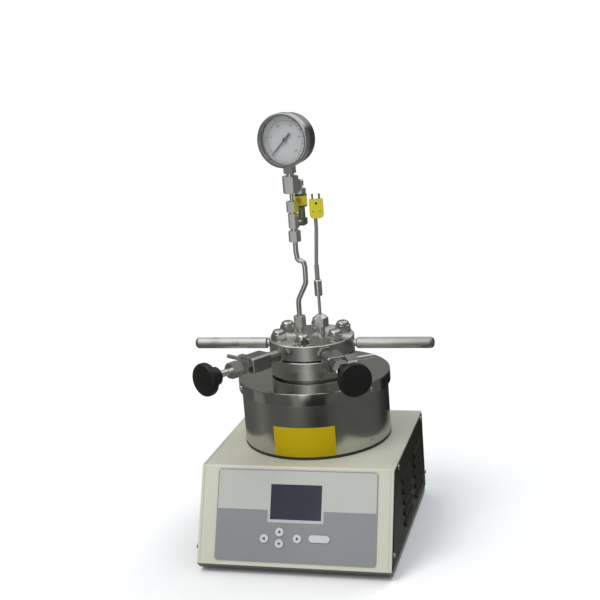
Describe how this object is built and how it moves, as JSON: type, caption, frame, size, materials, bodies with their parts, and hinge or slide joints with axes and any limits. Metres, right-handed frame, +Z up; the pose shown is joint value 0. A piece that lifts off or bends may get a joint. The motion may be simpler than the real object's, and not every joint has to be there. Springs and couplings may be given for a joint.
{
  "type": "hydrothermal reactor",
  "caption": "Bench-top stirred hydrothermal reactor: bolted pressure vessel with valves, gauge and relief valve in a heated drum on a control cabinet.",
  "frame": {"origin": "on the bench, on the upright axis of the drum and the vessel", "axes": "+Z up, +X to the right of someone who faces the control panel, +Y to the rear"},
  "size_m": [0.2968, 0.2528, 0.5065],
  "materials": {
    "stainless": "machined, satin",
    "polished_nut": "polished",
    "polished_sheet": "polished sheet",
    "bright_screw": "bright",
    "magnet_chrome": "plated",
    "aluminium": "turned",
    "motor_steel": "plain",
    "cream_paint": "fine textured coat",
    "dark_paint": "fine textured coat",
    "black_sheet": "matt",
    "black_rubber": "matt",
    "overlay_film": "printed film in two greys",
    "display_dark": "dark display",
    "key_grey": "matt",
    "circuit_green": "circuit board",
    "black_plastic": "moulded",
    "yellow_plastic": "moulded",
    "grey_sheath": "sheathed",
    "fibre_white": "fibre board",
    "gasket_white": "fluoropolymer",
    "dial_white": "printed metal",
    "pointer_black": "matt",
    "clear_glass": "clear"
  },
  "bodies": {
    "reactor": {"base_tray": "black_sheet", "rubber_feet": "black_rubber", "cabinet_cover": "cream_paint", "left_side_panel": "dark_paint", "right_side_panel": "dark_paint", "housing_screws": "bright_screw", "front_overlay": "overlay_film", "display_module": "display_dark", "control_board": "circuit_green", "power_board": "circuit_green", "power_inlet": "black_plastic", "sensor_socket": "yellow_plastic", "stirrer_motor": "motor_steel", "drum_base": "black_sheet", "drum_shell": "polished_sheet", "drum_cover": "polished_sheet", "heater_collar": "aluminium", "band_heater": "motor_steel", "drum_insulation": "fibre_white", "vessel_cup": "stainless", "vessel_gasket": "gasket_white", "vessel_head": "stainless", "head_studs": "stainless", "head_washers": "stainless", "acorn_nuts": "polished_nut", "side_levers": "stainless", "head_fittings": "stainless", "thermocouple_probe": "stainless", "thermocouple_lead": "grey_sheath", "thermocouple_plug": "yellow_plastic", "plug_pins": "magnet_chrome", "tube_nuts": "stainless", "gauge_tube": "stainless", "gauge_tee": "stainless", "gauge_adapter": "stainless", "relief_valve_body": "stainless", "relief_valve_sleeve": "yellow_plastic", "relief_valve_cap": "stainless", "gauge_movement": "stainless", "gauge_case": "polished_sheet", "gauge_bezel": "polished_sheet", "gauge_lens": "clear_glass", "gauge_dial": "dial_white", "valve_bodies": "stainless", "valve_packing_nuts": "stainless", "valve_outlet_tubes": "stainless"},
    "key_left_cap": {"key_left": "key_grey"},
    "key_up_cap": {"key_up": "key_grey"},
    "key_down_cap": {"key_down": "key_grey"},
    "key_right_cap": {"key_right": "key_grey"},
    "key_wide_cap": {"key_wide": "key_grey"},
    "rocker": {"rocker_switch": "black_plastic"},
    "rotor": {"magnet_rotor": "aluminium", "rotor_magnets": "magnet_chrome"},
    "stirrer": {"stir_bar": "gasket_white"},
    "pointer": {"gauge_pointer": "pointer_black"},
    "left_spindle": {"left_stem": "stainless"},
    "left_handwheel": {"left_knob": "black_plastic"},
    "right_spindle": {"right_stem": "stainless"},
    "right_handwheel": {"right_knob": "black_plastic"}
  },
  "joints": [
    {"name": "key_left_press", "type": "slide", "parent": "reactor", "child": "key_left_cap", "axis": [0, 0.8997, -0.4365], "range_m": [0, 0.0006], "stiffness_N_per_m": 300},
    {"name": "key_up_press", "type": "slide", "parent": "reactor", "child": "key_up_cap", "axis": [0, 0.8997, -0.4365], "range_m": [0, 0.0006], "stiffness_N_per_m": 300},
    {"name": "key_down_press", "type": "slide", "parent": "reactor", "child": "key_down_cap", "axis": [0, 0.8997, -0.4365], "range_m": [0, 0.0006], "stiffness_N_per_m": 300},
    {"name": "key_right_press", "type": "slide", "parent": "reactor", "child": "key_right_cap", "axis": [0, 0.8997, -0.4365], "range_m": [0, 0.0006], "stiffness_N_per_m": 300},
    {"name": "key_wide_press", "type": "slide", "parent": "reactor", "child": "key_wide_cap", "axis": [0, 0.8997, -0.4365], "range_m": [0, 0.0006], "stiffness_N_per_m": 300},
    {"name": "power_rocker", "type": "hinge", "parent": "reactor", "child": "rocker", "pos_m": [-0.066, 0.09, 0.067], "axis": [-1, 0, 0], "range_deg": [0, 20]},
    {"name": "magnet_rotor_spin", "type": "hinge", "parent": "reactor", "child": "rotor", "pos_m": [0, 0, 0.1213], "axis": [0, 0, 1], "continuous": true},
    {"name": "stir_bar_spin", "type": "hinge", "parent": "reactor", "child": "stirrer", "pos_m": [0, 0, 0.1503], "axis": [0, 0, 1], "continuous": true},
    {"name": "gauge_pointer_turn", "type": "hinge", "parent": "reactor", "child": "pointer", "pos_m": [-0.0088, -0.0088, 0.4749], "axis": [0.1736, 0.9848, 0], "range_deg": [0, 270], "stiffness_Nm_per_rad": 0.0001},
    {"name": "left_stem_travel", "type": "slide", "parent": "reactor", "child": "left_spindle", "axis": [-0.5, -0.866, 0], "range_m": [0, 0.0025]},
    {"name": "left_knob_turn", "type": "hinge", "parent": "left_spindle", "child": "left_handwheel", "pos_m": [-0.0757, -0.13112, 0.2288], "axis": [-0.5, -0.866, 0], "range_deg": [0, 900]},
    {"name": "right_stem_travel", "type": "slide", "parent": "reactor", "child": "right_spindle", "axis": [0.5, -0.866, 0], "range_m": [0, 0.0025]},
    {"name": "right_knob_turn", "type": "hinge", "parent": "right_spindle", "child": "right_handwheel", "pos_m": [0.0742, -0.12852, 0.2288], "axis": [0.5, -0.866, 0], "range_deg": [0, 900]}
  ],
  "couplings": [
    {"joint": "stir_bar_spin", "follows": "magnet_rotor_spin", "ratio": 1},
    {"joint": "left_knob_turn", "follows": "left_stem_travel", "rad_per_m": 6283.2},
    {"joint": "right_knob_turn", "follows": "right_stem_travel", "rad_per_m": 6283.2}
  ]
}
